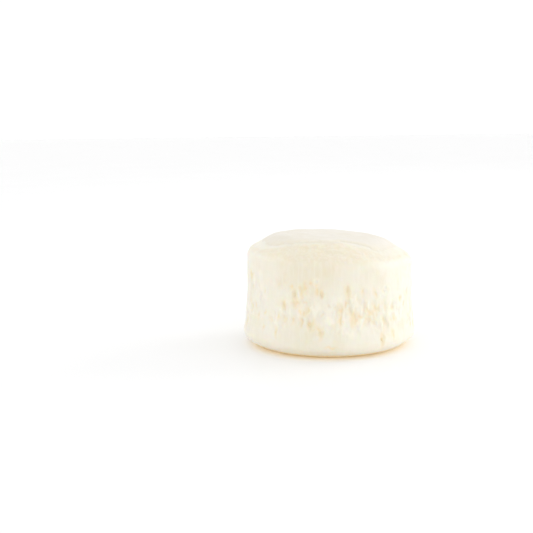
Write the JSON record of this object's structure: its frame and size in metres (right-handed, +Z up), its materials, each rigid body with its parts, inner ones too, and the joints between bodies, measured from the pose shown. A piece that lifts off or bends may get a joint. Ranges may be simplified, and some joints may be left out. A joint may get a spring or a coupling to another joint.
{
  "type": "shaving soap puck",
  "caption": "Thick round puck of cream hand-poured shaving soap with an undercut, flared foot, sloping shoulder and pale top crust.",
  "frame": {"origin": "middle of the flat base, in the plane that the puck rests on", "axes": "+Z up through the top; -Y is the side with the bared shoulder; the top slopes down towards +X"},
  "size_m": [0.066, 0.066, 0.043],
  "materials": {
    "soap": "satin",
    "crust": "matte",
    "curd": "satin",
    "fleck": "satin"
  },
  "bodies": {
    "root": {"soap_body": "soap", "top_crust": "crust", "pale_curds": "curd", "honey_flecks": "fleck"}
  },
  "joints": []
}
